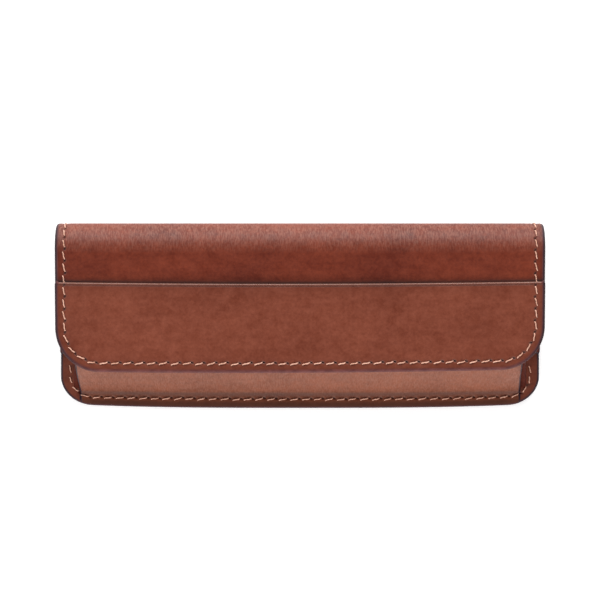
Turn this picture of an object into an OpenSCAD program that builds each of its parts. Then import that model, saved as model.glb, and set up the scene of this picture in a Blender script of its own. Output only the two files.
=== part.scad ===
// Leather fountain pen case that lies on its back. X runs along the case, +Y goes from the
// bottom seam to the fold, +Z goes from the back to the flap. All sizes are in millimetres.

/* [Overall size] */
// Length of the flap at the fold, the longest part of the case
case_l = 170; // [150:1:190]
// Height from the bottom seam's edge to the outside of the fold
case_h = 65.6; // [60:0.2:75]
// Depth from the back's outer face to the top of the flap's thread
case_d = 24; // [22:0.5:30]

/* [Leather] */
// Thickness of the outer leather
leather_t = 1.5; // [1.2:0.1:1.8]
// Thickness of the gussets, the pocket panel and the band
strip_t = 1.2; // [0.9:0.1:1.4]
// Thickness of the lining leather
lining_t = 0.8; // [0.5:0.1:1.0]

/* [Pen box] */
// Length of the back panel and the sewn flanges
back_l = 169.6; // [168:0.2:170]
// Radius of the back panel's bottom corners
back_corner_r = 11; // [6:0.5:13]
// Length of the front panel between the gussets
front_l = 155.8; // [150:0.2:156]
// Height of the bottom flange that is sewn to the back
flange_h = 5; // [3.5:0.1:5.2]
// Angle of the front's lower slope above the back
front_slope = 55; // [50:1:65]
// Distance from the fold down to the box's mouth
mouth_drop = 8.5; // [7:0.5:12]
// Space between the band on the box and the flap's lining
flap_gap = 0.4; // [0.3:0.1:1]
// Length of the gusset wall's foot from one gusset to the other
gusset_foot_l = 160; // [158:0.5:160]
// Length between the gusset walls at the front, where they lean in
gusset_top_l = 156.4; // [156.2:0.1:158]
// Width of the gusset's turned-in edge behind the front panel
gusset_turn = 7; // [5:0.5:9]

/* [Band] */
// Distance from the fold down to the band's lower edge
band_drop = 46.3; // [44:0.1:48]
// Width of the band
band_w = 22; // [15:1:26]
// Length of the band from one end to the other, seen from the front
band_l = 170; // [169:0.1:170]

/* [Flap] */
// Length of the flap just above its rounded corners
flap_tip_l = 169; // [164:0.5:170]
// Height of the flap, from the outside of the fold to its lower edge
flap_h = 51.9; // [48:0.1:53]
// Radius of the flap's corners
flap_corner_r = 15; // [7:0.5:16]
// Distance from the fold down to the pocket panel's free edge
pocket_drop = 21.1; // [18:0.1:26]

/* [Closing magnets] */
// Diameter of a magnet
magnet_d = 10; // [8:0.5:12]
// Thickness of a magnet
magnet_t = 0.9; // [0.6:0.1:1]
// Distance between the two magnets of a pair
magnet_span = 90; // [60:5:120]
// Distance from the fold down to the magnets' centres
magnet_drop = 43; // [40:1:45]

/* [Thread] */
// Diameter of the thread as it lies on the leather
thread_d = 0.5; // [0.4:0.05:0.6]
// Distance from one stitch to the next
stitch_pitch = 4.1; // [3:0.1:5]
// Length of one stitch
stitch_l = 2.8; // [2:0.1:3]
// Slant of a stitch across its row, in degrees
stitch_slant = 12; // [0:1:25]
// Distance from the flap's side edges to their seams
seam_inset = 3.1; // [3:0.1:4]
// Distance from the flanges' outer edges to their seams
flange_seam_inset = 3.4; // [2.8:0.1:3.6]
// Distance of the bottom seam from the case's lower edge
flange_row_inset = 3.1; // [2.2:0.1:3.3]
// Distance from the flap's lower edge to its seam
flap_seam_inset = 3.1; // [2.2:0.1:3.5]

/* [Hidden] */

$fn = 48;
arc_steps = 8;                  // straight steps in each rounded bend or corner
fold_room = 2;                  // bare length at each end of the spine, where the leather bends
clear = 0.3;                    // space left between pieces that aren't sewn face to face
cut_past = 1;                   // how far a recess is cut past the face that it opens in
lining_inset = 1;               // how far the flap's lining stops short of the flap's edge
top_y = case_h / 2;             // outside of the fold
bottom_y = -case_h / 2;         // edge of the bottom seam
spine_y = top_y - thread_d;     // outer face of the spine, under its thread
panel_end_y = spine_y - leather_t - clear;
lining_end_y = panel_end_y - lining_t - clear;

// Heights of the layers, from the top of the flap down
pocket_top_z = case_d - thread_d;
flap_top_z = pocket_top_z - strip_t;
flap_under_z = flap_top_z - leather_t;
flap_lining_z = flap_under_z - lining_t;
band_top_z = flap_lining_z - flap_gap;
front_top_z = band_top_z - strip_t;
front_under_z = front_top_z - leather_t;
flange_top_z = leather_t + strip_t;

mouth_y = top_y - mouth_drop;
flange_y = bottom_y + flange_h;
slope_run = (front_top_z - 2 * leather_t) / tan(front_slope);
shoulder_y = flange_y + slope_run;
band_low_y = top_y - band_drop;
flap_low_y = top_y - flap_h;
pocket_y = top_y - pocket_drop;
magnet_y = top_y - magnet_drop;
lining_half_l = gusset_top_l / 2 - gusset_turn - clear;
band_seam_x = band_l / 2 - strip_t;

crease_r = 1.6;                 // bend where the front rises from its flange
shoulder_r = 2.0;               // bend where the slope meets the front's flat
gusset_bend_r = 0.8;            // inner bends of the gusset and the band

outer_leather = [0.47, 0.22, 0.16];
front_leather = [0.62, 0.40, 0.33];
dark_leather = [0.36, 0.17, 0.13];
lining_leather = [0.55, 0.40, 0.29];
thread_colour = [0.88, 0.65, 0.50];
magnet_colour = [0.70, 0.70, 0.72];

function unit(v) = v / norm(v);

// Arc of radius r that rounds the corner b between the points a and c
function fillet(a, b, c, r) =
    let (u = unit(a - b), v = unit(c - b), half = acos(u * v) / 2)
    let (centre = b + unit(u + v) * r / sin(half), start = b + u * r / tan(half) - centre)
    let (turn = (u[0] * v[1] - u[1] * v[0] > 0 ? -1 : 1) * (180 - 2 * half))
    [for (i = [0 : arc_steps]) let (a = turn * i / arc_steps)
        centre + [start[0] * cos(a) - start[1] * sin(a), start[0] * sin(a) + start[1] * cos(a)]];

// Path through the corners, each inner one rounded by its own radius
function rounded(corners, radii) = [
    corners[0],
    for (i = [1 : len(corners) - 2]) each fillet(corners[i - 1], corners[i], corners[i + 1], radii[i - 1]),
    corners[len(corners) - 1]];

// Unit normal on the right of the path at its point i
function normal(path, i) =
    let (d = unit(path[min(i + 1, len(path) - 1)] - path[max(i - 1, 0)])) [d[1], -d[0]];

// Outline of a strip that lies on the right of the path
function strip(path, t) = concat(path,
    [for (i = [len(path) - 1 : -1 : 0]) path[i] + t * normal(path, i)]);

// Point and direction at the distance s along the path, as [x, y, angle]
function along(path, s, i = 0) =
    let (step = path[i + 1] - path[i])
    s <= norm(step) || i == len(path) - 2
        ? concat(path[i] + unit(step) * s, atan2(step[1], step[0]))
        : along(path, s - norm(step), i + 1);

function path_length(path, i = 0) =
    i == len(path) - 1 ? 0 : norm(path[i + 1] - path[i]) + path_length(path, i + 1);

// Would a stitch that is centred at y touch the band?
function on_band(y) = abs(y - band_low_y - band_w / 2) < (band_w + stitch_l) / 2 + thread_d;

// Outline with an open top and rounded bottom corners
function cup(half_top, top, half_low, low, r) = rounded(
    [[-half_top, top], [-half_low, low], [half_low, low], [half_top, top]], [r, r]);

flap_outline = cup(case_l / 2, panel_end_y, flap_tip_l / 2, flap_low_y, flap_corner_r);
flap_seam = cup(case_l / 2 - seam_inset, panel_end_y, flap_tip_l / 2 - seam_inset,
    flap_low_y + flap_seam_inset, flap_corner_r - flap_seam_inset);
back_outline = cup(back_l / 2, panel_end_y, back_l / 2, bottom_y, back_corner_r);

// Outer face of the front panel from the flange's edge to the mouth, as [y, z]
front_path = rounded([[bottom_y, 2 * leather_t], [flange_y, 2 * leather_t],
    [shoulder_y, front_top_z], [mouth_y, front_top_z]], [crease_r, shoulder_r]);

// Turns an outline of [y, z] into a solid centred across the case
module across(length) {
    rotate([90, 0, 90]) linear_extrude(length, center = true) children();
}

// Turns an outline of [x, z] into a solid from the height low to the height high along Y
module up_the_case(low, high) {
    translate([0, high, 0]) rotate([90, 0, 0]) linear_extrude(high - low) children();
}

module block(x0, x1, y0, y1, z0, z1) {
    translate([x0, y0, z0]) cube([x1 - x0, y1 - y0, z1 - z0]);
}

module magnet_pair(z, d, t) {
    for (side = [-1, 1])
        translate([side * magnet_span / 2, magnet_y, z]) cylinder(d = d, h = t);
}

// One stitch that lies flat at the height z, turned to the angle
module stitch(x, y, z, angle) {
    translate([x, y, z]) rotate([0, 90, angle]) cylinder(d = thread_d, h = stitch_l, center = true);
}

module back_panel() {
    color(outer_leather) linear_extrude(leather_t) polygon(back_outline);
}

module back_lining() {
    half = gusset_foot_l / 2 - strip_t - crease_r;
    color(lining_leather)
        block(-half, half, flange_y + 2 * leather_t, lining_end_y, leather_t, leather_t + lining_t);
}

module front_panel() {
    color(front_leather) difference() {
        intersection() {
            across(front_l) polygon(strip(front_path, leather_t));
            linear_extrude(case_d) polygon(back_outline);
        }
        magnet_pair(front_under_z - cut_past, magnet_d + clear, magnet_t + cut_past);
    }
}

module front_lining() {
    flat_y = shoulder_y + shoulder_r * tan(front_slope / 2);
    color(lining_leather) block(-lining_half_l, lining_half_l, flat_y, mouth_y,
        front_under_z - lining_t, front_under_z);
}

// Right-hand gusset: a flange on the back, a leaning wall and an edge turned in behind the front
module gusset() {
    wall = rounded([[gusset_top_l / 2 - gusset_turn, front_under_z], [gusset_top_l / 2, front_under_z],
        [gusset_foot_l / 2, flange_top_z], [back_l / 2, flange_top_z]],
        [gusset_bend_r + strip_t, gusset_bend_r]);
    under_front = concat([for (i = [0 : len(front_path) - 1])
        front_path[i] + leather_t * normal(front_path, i)],
        [[mouth_y, leather_t], [flange_y, leather_t]]);
    color(dark_leather) union() {
        intersection() {
            up_the_case(bottom_y, mouth_y) polygon(strip(wall, strip_t));
            across(back_l) polygon(under_front);
            linear_extrude(case_d) polygon(back_outline);
        }
        translate([0, 0, leather_t]) linear_extrude(strip_t) intersection() {
            polygon(back_outline);
            translate([front_l / 2 + clear, bottom_y]) square([back_l, mouth_y - bottom_y]);
        }
    }
}

module right_gusset() { gusset(); }

module left_gusset() { mirror([1, 0, 0]) gusset(); }

module side_band() {
    half_path = rounded([[0, band_top_z], [gusset_top_l / 2 + strip_t, band_top_z],
        [gusset_foot_l / 2 + strip_t, flange_top_z + strip_t], [band_l / 2, flange_top_z + strip_t]],
        [gusset_bend_r + strip_t, gusset_bend_r]);
    color(outer_leather) for (side = [0, 1]) mirror([side, 0, 0])
        up_the_case(band_low_y, band_low_y + band_w) polygon(strip(half_path, strip_t));
}

module body_magnets() {
    color(magnet_colour) magnet_pair(front_under_z, magnet_d, magnet_t);
}

// Right-hand half of the seam round the box, from the middle of the bottom edge to the mouth
box_seam_x = back_l / 2 - flange_seam_inset;
box_seam_y = bottom_y + flange_row_inset;
box_seam = rounded([[0, box_seam_y], [box_seam_x, box_seam_y], [box_seam_x, mouth_y]],
    [back_corner_r - flange_row_inset]);
box_seam_count = floor(path_length(box_seam) / stitch_pitch);
seam_step_x = stitch_l / 2 + clear;      // stitches keep this far from the end of the front panel

function box_stitch(i) = along(box_seam, (i + 0.5) * stitch_pitch);

// Seam beside the front panel. It stops at the band, whose end has a short row of its own nearer
// to the edge, and goes on above it
module side_stitching() {
    band_count = floor(band_w / stitch_pitch);
    color(thread_colour) {
        for (i = [0 : box_seam_count - 1]) let (p = box_stitch(i))
            if (p[0] > front_l / 2 + seam_step_x && !on_band(p[1]))
                stitch(p[0], p[1], flange_top_z + thread_d / 2, p[2] + stitch_slant);
        for (i = [0 : band_count - 1])
            stitch(band_seam_x, band_low_y + band_w / 2 + (i - (band_count - 1) / 2) * stitch_pitch,
                flange_top_z + strip_t + thread_d / 2, 90 + stitch_slant);
    }
}

module right_side_stitching() { side_stitching(); }

module left_side_stitching() { mirror([1, 0, 0]) side_stitching(); }

module bottom_stitching() {
    color(thread_colour) for (i = [0 : box_seam_count - 1]) let (p = box_stitch(i))
        if (p[0] < front_l / 2 - seam_step_x) {
            stitch(p[0], p[1], 2 * leather_t + thread_d / 2, p[2] + stitch_slant);
            stitch(-p[0], p[1], 2 * leather_t + thread_d / 2, stitch_slant - p[2]);
        }
}

module fold_spine() {
    color(outer_leather) block(-case_l / 2, case_l / 2, spine_y - leather_t, spine_y,
        fold_room, case_d - fold_room);
}

module spine_lining() {
    half = case_l / 2 - seam_inset / 2;
    color(lining_leather) block(-half, half, spine_y - leather_t - lining_t, spine_y - leather_t,
        flange_top_z + clear, flap_lining_z - clear);
}

module spine_stitching() {
    seam_x = case_l / 2 - seam_inset;
    count = floor((case_d - 2 * fold_room) / stitch_pitch);
    color(thread_colour) for (side = [-1, 1], i = [0 : count - 1])
        translate([side * seam_x, spine_y + thread_d / 2, case_d / 2 + (i - (count - 1) / 2) * stitch_pitch])
            rotate([0, stitch_slant, 0]) cylinder(d = thread_d, h = stitch_l, center = true);
}

module flap_panel() {
    color(outer_leather) difference() {
        translate([0, 0, flap_under_z]) linear_extrude(leather_t) polygon(flap_outline);
        magnet_pair(flap_under_z - cut_past, magnet_d + clear, magnet_t + cut_past);
    }
}

module flap_lining() {
    color(lining_leather) translate([0, 0, flap_lining_z]) linear_extrude(lining_t)
        polygon(cup(case_l / 2 - lining_inset, lining_end_y, flap_tip_l / 2 - lining_inset,
            flap_low_y + lining_inset, flap_corner_r - lining_inset));
}

module pocket_panel() {
    color(outer_leather) translate([0, 0, flap_top_z]) linear_extrude(strip_t) intersection() {
        polygon(flap_outline);
        translate([-case_l / 2, flap_low_y]) square([case_l, pocket_y - flap_low_y]);
    }
}

module flap_magnets() {
    color(magnet_colour) magnet_pair(flap_under_z, magnet_d, magnet_t);
}

module flap_stitching() {
    count = floor(path_length(flap_seam) / stitch_pitch);
    color(thread_colour) for (i = [0 : count - 1]) let (p = along(flap_seam, (i + 0.5) * stitch_pitch))
        stitch(p[0], p[1], (p[1] < pocket_y + stitch_l / 2 ? pocket_top_z : flap_top_z) + thread_d / 2,
            p[2] + stitch_slant);
}

back_panel();
back_lining();
front_panel();
front_lining();
left_gusset();
right_gusset();
side_band();
body_magnets();
left_side_stitching();
right_side_stitching();
bottom_stitching();
fold_spine();
spine_lining();
spine_stitching();
flap_panel();
flap_lining();
pocket_panel();
flap_magnets();
flap_stitching();
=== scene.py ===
"""Leather fountain pen case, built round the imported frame, lying on its back and seen from straight above.

Lengths are in metres, in the frame's axes: X along the case, +Y from the bottom seam to the fold, +Z from
the back to the flap. Each leather piece is a sheet with rounded, painted edges that follows a rail, a line of
straight runs and round bends. A place on a sheet is (c, s, h): across the rail, along it, and above its face.
"""

import math

import bmesh
import bpy
import mathutils
import numpy as np
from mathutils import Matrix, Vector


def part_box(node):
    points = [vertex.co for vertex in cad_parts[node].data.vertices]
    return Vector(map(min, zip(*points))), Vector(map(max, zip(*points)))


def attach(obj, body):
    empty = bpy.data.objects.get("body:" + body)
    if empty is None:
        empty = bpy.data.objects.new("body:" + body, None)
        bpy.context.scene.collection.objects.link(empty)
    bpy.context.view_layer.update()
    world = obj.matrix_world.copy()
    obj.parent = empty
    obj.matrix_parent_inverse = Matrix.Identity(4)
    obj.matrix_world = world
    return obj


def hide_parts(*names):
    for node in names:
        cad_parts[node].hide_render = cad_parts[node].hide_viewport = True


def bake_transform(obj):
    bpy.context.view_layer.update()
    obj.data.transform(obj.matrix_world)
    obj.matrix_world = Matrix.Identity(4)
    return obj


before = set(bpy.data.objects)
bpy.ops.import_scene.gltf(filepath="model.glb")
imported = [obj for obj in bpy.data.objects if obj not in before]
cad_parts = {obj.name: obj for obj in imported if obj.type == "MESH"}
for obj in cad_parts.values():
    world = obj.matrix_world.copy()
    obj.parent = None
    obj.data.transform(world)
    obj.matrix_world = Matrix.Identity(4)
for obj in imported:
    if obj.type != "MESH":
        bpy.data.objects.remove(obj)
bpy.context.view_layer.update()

MM = 0.001

# ---------------------------------------------------------------- sizes, from the frame
BACK_LO, BACK_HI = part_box("back_panel")
FLAP_LO, FLAP_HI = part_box("flap_panel")
POCKET_LO, POCKET_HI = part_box("pocket_panel")
SPINE_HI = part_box("fold_spine")[1]
FRONT_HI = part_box("front_panel")[1]
GUSSET_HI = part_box("right_gusset")[1]
BAND_LO, BAND_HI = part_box("side_band")
LINING_LO, LINING_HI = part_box("back_lining")

LEATHER = BACK_HI.z - BACK_LO.z
STRIP = POCKET_HI.z - POCKET_LO.z
LINING = LINING_HI.z - LINING_LO.z
FOLD_Y = SPINE_HI.y
FLAP_TOP = FLAP_HI.z
LOW_Y = BACK_LO.y
TIP_Y = FLAP_LO.y
BACK_HALF = BACK_HI.x
FLAP_HALF = FLAP_HI.x
FLANGE_TOP = LEATHER + STRIP

# ---------------------------------------------------------------- sizes of the leather work
FLAP_TAPER = 0.5 * MM            # how much narrower each side of the flap is at its tip
FLAP_CORNER = 15 * MM
TIP_TILT = 0.45 * MM             # how far the flap's tip is skewed, down at its left end and up at its right
TIP_BOW = 0.6 * MM               # how far its middle hangs down, while its ends rise half as much
BACK_CORNER = 11 * MM
LOWER_BEND = 6.0 * MM            # roll between the back and the spine
UPPER_BEND = 9.0 * MM            # roll between the spine and the flap
EDGE = 0.8 * MM                  # how far a sheet's painted edge is rounded
FLAP_EDGE = 1.15 * MM            # the same for the flap, whose thick edge was rounded further
FRONT_EDGE = 0.5 * MM            # the same for the front, whose edges are nearly square
FINE = 0.3 * MM                  # grid step where stitches shape the leather
PITCH = 4.1 * MM
STITCH = 2.9 * MM
SLANT = math.radians(17)
SLIT_SLANT = math.radians(40)    # the awl's slits, against the stitches
THREAD_R = 0.2 * MM
SEAM_INSET = 3.1 * MM            # of the side rows, and of the row along the back's bottom
TIP_SEAM_INSET = 3.1 * MM        # of the row along the flap's tip
SEAM_EASE = 20 * MM              # radius of the slight turn where a side row starts to follow a taper
FLANGE_W = 5.0 * MM              # front panel's sewn lower strip
FLANGE_INSET = 3.4 * MM          # of the rows that sew the gussets to the back
FLANGE_ROW_INSET = 3.1 * MM      # of the row that sews the front to it
WALL_FOOT = 80.2 * MM            # from the middle of the case to the feet of its end walls
WALL_HEAD = FRONT_HI.x + 0.45 * MM
TUCK = 6 * MM                    # how far they turn in under the front
BORDER = 6.5 * MM                # width of the finely gridded border that holds a seam
RIM_STEPS = 6
WEAR = 1.6 * MM                  # how far in from an edge the leather is darkened by handling
UNEVEN = 0.05 * MM               # depth of the slow waves in flat leather
CLEAR = 0.02 * MM                # air between two layers
BITE = 0.1 * MM                  # how far a seam's thread lies below the leather's face
QUARTER = math.pi / 2

rng = np.random.default_rng(11)


# ---------------------------------------------------------------- rails
class Rail:
    """A line in a plane with round bends, measured along its length and carried on straight past its ends."""

    PAST = 4 * MM
    BEND_STEPS = 40

    def __init__(self, corners, radii):
        corners = [np.array(c, float) for c in corners]
        first = corners[0] - corners[1]
        last = corners[-1] - corners[-2]
        points = [corners[0] + first / np.linalg.norm(first) * self.PAST, corners[0]]
        for before, corner, after, radius in zip(corners, corners[1:], corners[2:], radii):
            points.extend(self.bend(before, corner, after, radius))
        points += [corners[-1], corners[-1] + last / np.linalg.norm(last) * self.PAST]
        self.points = np.array(points)
        steps = np.diff(self.points, axis=0)
        lengths = np.linalg.norm(steps, axis=1)
        self.places = np.concatenate([[0], np.cumsum(lengths)]) - self.PAST
        self.length = self.places[-2]
        self.middles = (self.places[1:] + self.places[:-1]) / 2
        self.directions = steps / lengths[:, None]

    def bend(self, before, corner, after, radius):
        u = (before - corner) / np.linalg.norm(before - corner)
        v = (after - corner) / np.linalg.norm(after - corner)
        half = math.acos(float(u @ v)) / 2
        centre = corner + (u + v) / np.linalg.norm(u + v) * radius / math.sin(half)
        start = corner + u * radius / math.tan(half) - centre
        side = -1 if u[0] * v[1] - u[1] * v[0] > 0 else 1
        turn = side * (math.pi - 2 * half) * np.linspace(0, 1, self.BEND_STEPS + 1)
        return np.stack([centre[0] + start[0] * np.cos(turn) - start[1] * np.sin(turn),
                         centre[1] + start[0] * np.sin(turn) + start[1] * np.cos(turn)], -1)

    def at(self, s):
        """Points on the rail and its unit directions there."""
        point = np.stack([np.interp(s, self.places, self.points[:, k]) for k in (0, 1)], -1)
        way = np.stack([np.interp(s, self.middles, self.directions[:, k]) for k in (0, 1)], -1)
        return point, way / np.linalg.norm(way, axis=-1, keepdims=True)

    def beside(self, s, h):
        """The two coordinates of points at a height h on the rail's left."""
        point, way = self.at(s)
        return point[..., 0] - way[..., 1] * h, point[..., 1] + way[..., 0] * h


def across_x(rail, side):
    """Places a sheet whose rail lies in the YZ plane. Its face is on the rail's left if side is 1, or right."""
    def place(c, s, h):
        y, z = rail.beside(s, side * h)
        return np.stack([c, y, z], -1)
    return place


def across_y(rail, side):
    """Places a sheet whose rail lies in the XZ plane."""
    def place(c, s, h):
        x, z = rail.beside(s, side * h)
        return np.stack([x, c, z], -1)
    return place


def rounded_half(distance, half, radius):
    """Half the width of an outline at a distance from its end, whose corners are round."""
    inside = np.clip(radius - distance, 0, radius)
    return half - radius + np.sqrt(np.maximum(radius ** 2 - inside ** 2, 0))


def spread(start, end, step):
    """Evenly spaced places, no further apart than a step."""
    return np.linspace(start, end, max(2, int(math.ceil(abs(end - start) / step)) + 1))


def corner_rows(end, radius, step, towards):
    """Rows round a corner that ends at the row end, closer together where the outline turns."""
    angles = np.linspace(0, QUARTER, int(math.ceil(radius * QUARTER / step)) + 1)
    return end + towards * radius * (1 - np.cos(angles))


def ripple(c, s, seed):
    """The slow unevenness of hand-cut leather, from -1 to 1."""
    waves = np.random.default_rng(seed)
    total = 0
    for size in (0.031, 0.047, 0.071):
        along, over, shift = waves.uniform(-1, 1), waves.uniform(-1, 1), waves.uniform(0, 2 * math.pi)
        total = total + np.sin((along * c + over * s) * 2 * math.pi / size / math.hypot(along, over) + shift)
    return total / 3


# ---------------------------------------------------------------- seams
PATH_STEP = 0.2 * MM
GROOVE_HALF = 0.36 * MM          # half the width of the groove that a stitch presses
CHANNEL_HALF = 1.1 * MM          # half the width of the hollow that the whole row is pulled into
SEAM_REACH = 4 * MM              # nothing further than this from a stitch is pressed by it
SLIT_HALF_L, SLIT_HALF_W = 0.60 * MM, 0.33 * MM
SLIT_AHEAD, SLIT_ASIDE = 0.42 * MM, 0.22 * MM    # a slit's middle, from the end of its stitch
HAND_TURN, HAND_SHIFT = math.radians(2.2), 0.06 * MM    # a hand's unevenness
THREAD_SWAY = 0.11 * MM
THREAD_SINK = 0.42 * MM          # how far a stitch's ends go down into their holes
PLY_DEPTH, PLY_TWIST = 0.13, 1.15 * MM    # the grooves between the thread's plies, and the length of one turn


def arc_path(corners, radii):
    """Points along a flat path with round corners."""
    rail = Rail(corners, radii)
    return rail.at(spread(0, rail.length, PATH_STEP))[0]


def marks_along(path, slant=SLANT, skip=None):
    """The stitches of a seam: the middle of each and its unit direction, with a hand's small unevenness."""
    lengths = np.concatenate([[0], np.cumsum(np.linalg.norm(np.diff(path, axis=0), axis=1))])
    count = int(lengths[-1] / PITCH)
    places = (np.arange(count) + 0.5) * lengths[-1] / count
    middle = np.stack([np.interp(places, lengths, path[:, k]) for k in (0, 1)], -1)
    ahead = np.stack([np.interp(places + FINE, lengths, path[:, k]) for k in (0, 1)], -1)
    behind = np.stack([np.interp(places - FINE, lengths, path[:, k]) for k in (0, 1)], -1)
    angle = np.arctan2(ahead[:, 1] - behind[:, 1], ahead[:, 0] - behind[:, 0]) + slant
    angle = angle + rng.normal(0, HAND_TURN, count)
    middle = middle + rng.normal(0, HAND_SHIFT, (count, 2))
    hand = np.full((count, 1), -np.sign(slant))
    marks = np.concatenate([middle, np.cos(angle)[:, None], np.sin(angle)[:, None], hand], 1)
    return marks if skip is None else marks[~skip(marks[:, 0], marks[:, 1])]


def seam_marks(c, s, marks, groove=0.12 * MM, hole=0.5 * MM, channel=0.12 * MM):
    """How deep a seam presses each place of a sheet, and how much painted shade darkens its needle holes and
    the grooves under its stitches.

    The awl's slit at the end of a stitch slants the other way and reaches the start of the next stitch.
    """
    depth, dark = np.zeros(c.shape), np.zeros(c.shape)
    for x, y, dx, dy, hand in marks:
        near = np.flatnonzero((np.abs(c - x) < SEAM_REACH) & (np.abs(s - y) < SEAM_REACH))
        if not len(near):
            continue
        along = (c[near] - x) * dx + (s[near] - y) * dy
        over = (s[near] - y) * dx - (c[near] - x) * dy
        reach = np.abs(along) - STITCH / 2
        under = np.exp(-(over / GROOVE_HALF) ** 2) * np.clip(0.5 - reach / (0.5 * MM), 0, 1)
        ahead = along - (STITCH / 2 + SLIT_AHEAD)
        aside = hand * over - SLIT_ASIDE
        slit_along = ahead * math.cos(SLIT_SLANT) + aside * math.sin(SLIT_SLANT)
        slit_over = aside * math.cos(SLIT_SLANT) - ahead * math.sin(SLIT_SLANT)
        well = np.exp(-(slit_along / SLIT_HALF_L) ** 4 - (slit_over / SLIT_HALF_W) ** 2)
        pull = np.exp(-(over / CHANNEL_HALF) ** 2) * np.clip(1.2 - np.abs(along) / (PITCH * 0.8), 0, 1)
        depth[near] = np.maximum(depth[near], np.maximum(groove * under, hole * well))
        depth[near] = np.maximum(depth[near], channel * pull)
        # painted shade: full in the slits, half in the grooves
        dark[near] = np.maximum(dark[near], np.maximum(well, 0.5 * under))
    return depth, dark


# ---------------------------------------------------------------- meshes
def surface_faces(rows, cols, margin_rows, margin_cols, step_rows, step_cols):
    """Faces of a grid: squares in its margins and bigger faces inside, that share all their edge points."""
    r0, r1 = margin_rows[0], rows - 1 - margin_rows[1]
    c0, c1 = margin_cols, cols - 1 - margin_cols
    inside = r1 - r0 > step_rows and c1 - c0 > step_cols
    faces = []
    for r in range(rows - 1):
        for c in range(cols - 1):
            if not (inside and r0 <= r < r1 and c0 <= c < c1):
                faces.append((r * cols + c, r * cols + c + 1, (r + 1) * cols + c + 1, (r + 1) * cols + c))
    if not inside:
        return faces
    row_breaks = [*range(r0, r1, step_rows), r1]
    col_breaks = [*range(c0, c1, step_cols), c1]
    for ra, rb in zip(row_breaks, row_breaks[1:]):
        for ca, cb in zip(col_breaks, col_breaks[1:]):
            low = range(ca, cb) if ra == r0 else [ca]
            right = range(ra, rb) if cb == c1 else [ra]
            high = range(cb, ca, -1) if rb == r1 else [cb]
            left = range(rb, ra, -1) if ca == c0 else [rb]
            faces.append((*[ra * cols + c for c in low], *[r * cols + cb for r in right],
                          *[rb * cols + c for c in high], *[r * cols + ca for r in left]))
    return faces


def outline_of(rows, cols):
    """A grid's border points in order: up its first column, along its last row, down and back."""
    loop = [r * cols for r in range(rows)] + [(rows - 1) * cols + k for k in range(1, cols)]
    return loop + [r * cols + cols - 1 for r in range(rows - 2, -1, -1)] + list(range(cols - 2, 0, -1))


def add_mesh(name, points, faces, materials, face_materials=None, values=None, smooth_angle=55):
    """A new object from points and faces, with one number per point for each named value."""
    used = np.zeros(len(points), bool)
    for f in faces:
        used[list(f)] = True
    renumber = np.cumsum(used) - 1
    mesh = bpy.data.meshes.new(name)
    mesh.from_pydata(points[used].tolist(), [], [tuple(renumber[list(f)].tolist()) for f in faces])
    for material in materials:
        mesh.materials.append(material)
    if face_materials is not None:
        mesh.polygons.foreach_set("material_index", np.array(face_materials, np.int32))
    for key, numbers in (values or {}).items():
        mesh.attributes.new(key, "FLOAT", "POINT").data.foreach_set("value", numbers[used].astype(np.float32))
    whole = bmesh.new()
    whole.from_mesh(mesh)
    bmesh.ops.recalc_face_normals(whole, faces=whole.faces)
    whole.to_mesh(mesh)
    whole.free()
    mesh.polygons.foreach_set("use_smooth", np.ones(len(mesh.polygons), bool))
    mesh.set_sharp_from_angle(angle=math.radians(smooth_angle))
    mesh.update()
    piece = bpy.data.objects.new(name, mesh)
    bpy.context.scene.collection.objects.link(piece)
    return piece


def join(first, second):
    """Adds the second piece's mesh to the first."""
    with bpy.context.temp_override(active_object=first, selected_editable_objects=[first, second]):
        bpy.ops.object.join()


def rim_reach(ring, corners, rows, edge, butt, cut):
    """How far the rim stands out at each point of the outline, as steps on the sheet, and which are cut."""
    turn = np.roll(ring, -1, 0) - np.roll(ring, 1, 0)
    out = np.stack([-turn[:, 1], turn[:, 0]], -1) * np.sign(rows[-1] - rows[0])
    out = out / np.maximum(np.linalg.norm(out, axis=1, keepdims=True), 1e-12) * edge
    on_cut = np.isclose(ring[:, 1], rows[0]) & ~corners & (cut is not None)
    if cut is not None:
        out[on_cut] *= cut / edge
    if butt is not None:
        at_butt = np.isclose(ring[:, 1], rows[butt])
        ends = at_butt & corners
        out[at_butt & ~ends] = 0
        out[ends] = np.stack([np.sign(ring[ends, 0] - ring[:, 0].mean()) * edge, np.zeros(ends.sum())], -1)
    return out, on_cut


def rim_rings(place, ring, out, lift, back):
    """Rings of points that round the edge between the face, at its lift, and the back."""
    rings = []
    for k in range(1, RIM_STEPS):
        angle = math.pi * k / RIM_STEPS
        height = back + (lift - back) * (1 + math.cos(angle)) / 2
        flat = ring + out * math.sin(angle)
        rings.append(place(flat[:, 0], flat[:, 1], height))
    return rings


def rim_faces(loop, grid, on_cut, cut_slot):
    """Faces between those rings and the outlines of the face and the back, and each one's material."""
    count = len(loop)
    rings = [loop] + [2 * grid + k * count + np.arange(count) for k in range(RIM_STEPS - 1)] + [grid + loop]
    faces, kinds = [], []
    for upper, lower in zip(rings, rings[1:]):
        for i in range(count):
            j = (i + 1) % count
            faces.append((upper[i], upper[j], lower[j], lower[i]))
            kinds.append(cut_slot if on_cut[i] and on_cut[j] else 1)
    return faces, kinds


def wear(c, s, low, high, rows, butt):
    """How worn each place is, from 1 at a free edge to 0 well inside."""
    cols = len(c) // len(rows)
    inward = np.minimum(c - np.repeat(low, cols), np.repeat(high, cols) - c)
    for end in (0, -1):
        if butt is None or end != butt:
            inward = np.minimum(inward, np.abs(s - rows[end]))
    return np.exp(-inward / WEAR)


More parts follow.
